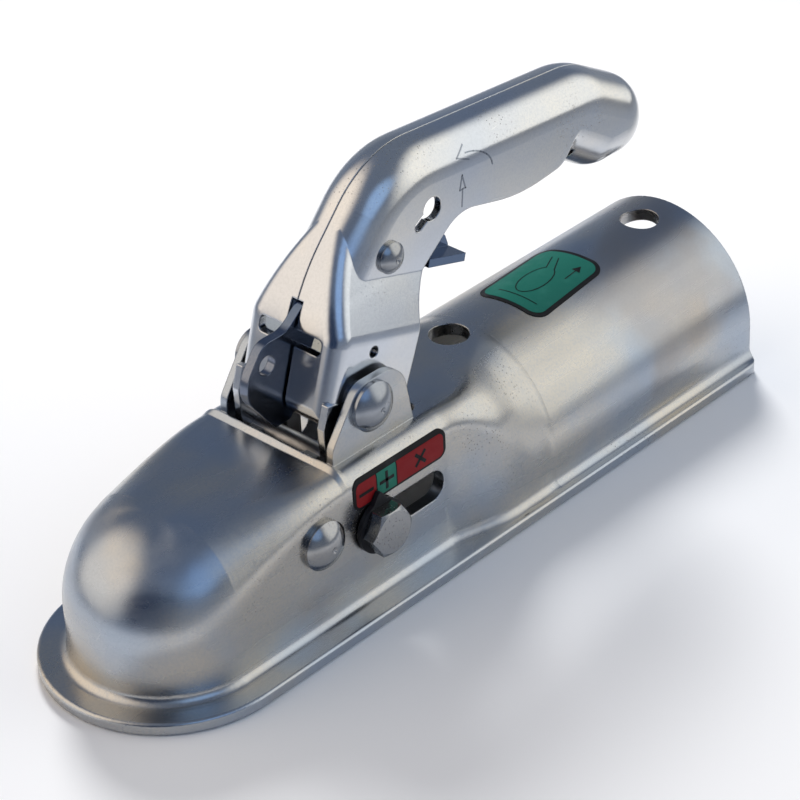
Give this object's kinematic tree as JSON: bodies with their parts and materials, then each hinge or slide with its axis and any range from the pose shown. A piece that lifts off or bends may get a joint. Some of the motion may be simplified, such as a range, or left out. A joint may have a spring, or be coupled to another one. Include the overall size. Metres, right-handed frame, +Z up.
{
  "type": "trailer coupling head",
  "caption": "Pressed sheet steel coupling head for a tow ball, with a half-pipe drawbar seat, lifting lock handle, safety pawl, ball jaw and wear indicator.",
  "frame": {"origin": "centre of the tow ball when the coupling is closed on it", "axes": "+X runs back along the drawbar, +Z is up, and the wear scale and bolt head are on the -Y side"},
  "size_m": [0.262, 0.077, 0.1226],
  "materials": {
    "zinc_body": "satin blue-passivated zinc plating",
    "zinc_handle": "bright blue-passivated zinc plating",
    "zinc_rivet": "bright zinc plating",
    "zinc_pawl": "blue zinc plating",
    "inner_steel": "plain steel, lightly oiled",
    "jaw_steel": "dark cast steel",
    "spring_steel": "dark drawn wire",
    "black_plastic": "matt black plastic",
    "scale_film": "printed film",
    "green_film": "printed film"
  },
  "bodies": {
    "body": {"coupling_body": "zinc_body", "pivot_rivets": "zinc_rivet", "jaw_rivet": "zinc_rivet", "spring_bracket": "inner_steel", "spring_guide_pin": "inner_steel", "pressure_spring": "spring_steel", "wear_label": "scale_film", "instruction_label": "green_film"},
    "handle": {"handle_left_shell": "zinc_handle", "handle_right_shell": "zinc_handle", "drive_pin": "inner_steel", "pawl_rivet": "zinc_rivet", "pawl_spacer": "inner_steel", "pawl_spring": "spring_steel"},
    "pawl": {"safety_pawl": "zinc_pawl"},
    "jaw": {"ball_jaw": "jaw_steel"},
    "slider": {"locking_slider": "inner_steel", "indicator_bolt": "zinc_rivet", "indicator_pointer": "black_plastic", "bolt_washer": "zinc_rivet", "bolt_nut": "zinc_rivet"}
  },
  "joints": [
    {"name": "handle_hinge", "type": "hinge", "parent": "body", "child": "handle", "pos_m": [0.062, 0, 0.0422], "axis": [0, -1, 0], "range_deg": [0, 54], "stiffness_Nm_per_rad": 1.5, "springref_deg": -22.92},
    {"name": "pawl_hinge", "type": "hinge", "parent": "handle", "child": "pawl", "pos_m": [0.0834, 0, 0.0766], "axis": [0, -1, 0], "range_deg": [0, 35.2]},
    {"name": "slider_slide", "type": "slide", "parent": "body", "child": "slider", "axis": [1, 0, 0], "range_m": [0, 0.0192], "deforming": ["pressure_spring"]},
    {"name": "jaw_hinge", "type": "hinge", "parent": "body", "child": "jaw", "pos_m": [0.0332, 0, 0.0131], "axis": [0, -1, 0], "range_deg": [0, 22]}
  ],
  "couplings": [
    {"joint": "pawl_hinge", "follows": "handle_hinge", "ratio": 0.65},
    {"joint": "slider_slide", "follows": "handle_hinge", "m_per_rad": 0.02033},
    {"joint": "jaw_hinge", "follows": "handle_hinge", "ratio": 0.4072}
  ]
}
